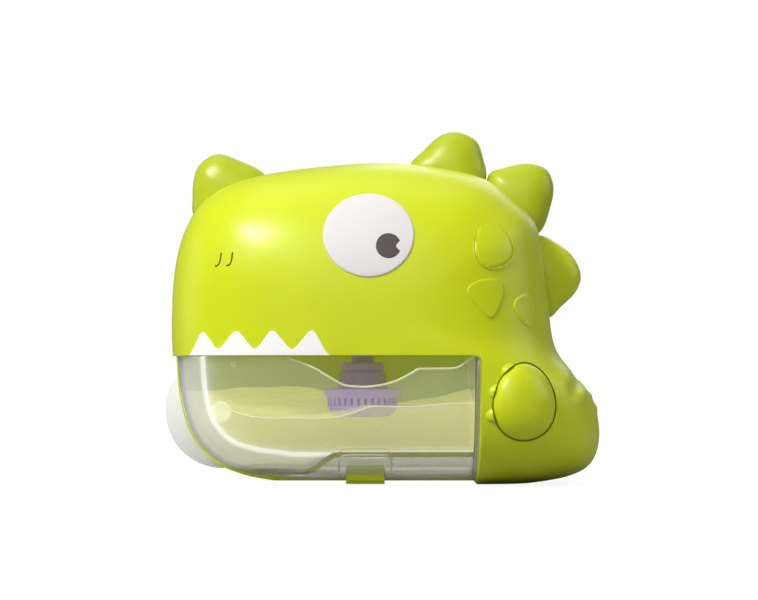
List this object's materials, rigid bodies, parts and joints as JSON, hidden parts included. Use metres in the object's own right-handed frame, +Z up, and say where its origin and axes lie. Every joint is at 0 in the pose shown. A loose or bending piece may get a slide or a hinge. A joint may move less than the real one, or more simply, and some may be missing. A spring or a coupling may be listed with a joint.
{
  "type": "bubble machine",
  "caption": "Dinosaur-shaped bath foam maker: clear drop-out tank in the jaw, powered frother, foot button, suction cups and a battery door in the back.",
  "frame": {"origin": "centre of the footprint's bounding box (to within 1 mm) on the plane the machine rests on", "axes": "+Z up, +X from the snout towards the tail, +Y from the face towards the wall that the suction cups hold"},
  "size_m": [0.2015, 0.09, 0.1618],
  "materials": {
    "green_plastic": "satin moulded, lime green",
    "clear_plastic": "polished, clear",
    "purple_plastic": "satin, greyed purple",
    "white_plastic": "satin white",
    "pupil_ink": "satin dark grey",
    "clear_silicone": "soft, translucent",
    "cell_sleeve": "printed sleeve over a dry cell",
    "brass": "plated",
    "black_plastic": "moulded",
    "steel": "zinc plated",
    "armature": "wound coils on laminations",
    "board": "solder mask",
    "seal_rubber": "soft",
    "wire_red": "insulation",
    "wire_black": "insulation"
  },
  "bodies": {
    "head": {"front_shell": "green_plastic", "rear_shell": "green_plastic", "tank_bay": "green_plastic", "teeth_strip": "white_plastic", "eye_white": "white_plastic", "eye_pupil": "pupil_ink", "nose_horn": "green_plastic", "back_spike_top": "green_plastic", "back_spike_middle": "green_plastic", "back_spike_low": "green_plastic", "circuit_board": "board", "control_chip": "black_plastic", "switch_body": "black_plastic", "button_spring": "steel", "frother_neck": "purple_plastic", "motor_can": "steel", "motor_end_cap": "white_plastic", "motor_bracket": "black_plastic", "shaft_bush": "brass", "shaft_seal": "seal_rubber", "neck_nut": "purple_plastic", "battery_box": "black_plastic", "battery_cell_left": "cell_sleeve", "battery_spring_left": "steel", "contact_plate_left": "brass", "battery_cell_middle": "cell_sleeve", "battery_spring_middle": "steel", "contact_plate_middle": "brass", "battery_cell_right": "cell_sleeve", "battery_spring_right": "steel", "contact_plate_right": "brass", "suction_cup_nose": "clear_silicone", "suction_cup_tail": "clear_silicone", "suction_cup_brow": "clear_silicone", "suction_cup_neck": "clear_silicone", "shell_screw_1": "steel", "shell_screw_2": "steel", "shell_screw_3": "steel", "shell_screw_4": "steel", "bay_screw_1": "steel", "bay_screw_2": "steel", "bracket_screw_left": "steel", "bracket_screw_right": "steel", "wire_red": "wire_red", "wire_black": "wire_black"},
    "tank": {"tank": "clear_plastic", "latch_pin": "steel"},
    "latch": {"tank_latch": "green_plastic"},
    "button": {"foot_button": "green_plastic"},
    "switch": {"switch_plunger": "white_plastic"},
    "rotor": {"motor_armature": "armature", "shaft_coupler": "black_plastic", "drive_shaft": "steel", "impeller": "white_plastic"},
    "basket": {"frother_basket": "purple_plastic"},
    "battery_cover": {"battery_door": "green_plastic", "door_gasket": "seal_rubber", "door_screw_low": "steel", "door_screw_high": "steel"}
  },
  "joints": [
    {"name": "tank_drop", "type": "slide", "parent": "head", "child": "tank", "axis": [0, 0, -1], "range_m": [0, 0.06]},
    {"name": "latch_tilt", "type": "hinge", "parent": "tank", "child": "latch", "pos_m": [-0.0065, 0.008, 0.0054], "axis": [-1, 0, 0], "range_deg": [0, 5]},
    {"name": "button_press", "type": "slide", "parent": "head", "child": "button", "axis": [0, 1, 0], "range_m": [0, 0.0015], "stiffness_N_per_m": 300, "springref_m": -0.001, "deforming": ["button_spring"]},
    {"name": "switch_travel", "type": "slide", "parent": "head", "child": "switch", "axis": [0, 1, 0], "range_m": [0, 0.0015]},
    {"name": "rotor_spin", "type": "hinge", "parent": "head", "child": "rotor", "pos_m": [-0.0078, -0.008, 0.05], "axis": [0, 0, 1], "continuous": true},
    {"name": "basket_turn", "type": "hinge", "parent": "head", "child": "basket", "pos_m": [-0.0078, -0.008, 0.036], "axis": [0, 0, -1], "range_deg": [0, 30]},
    {"name": "door_lift", "type": "slide", "parent": "head", "child": "battery_cover", "axis": [0, 1, 0], "range_m": [0, 0.04]}
  ],
  "couplings": [
    {"joint": "switch_travel", "follows": "button_press", "ratio": 1}
  ]
}
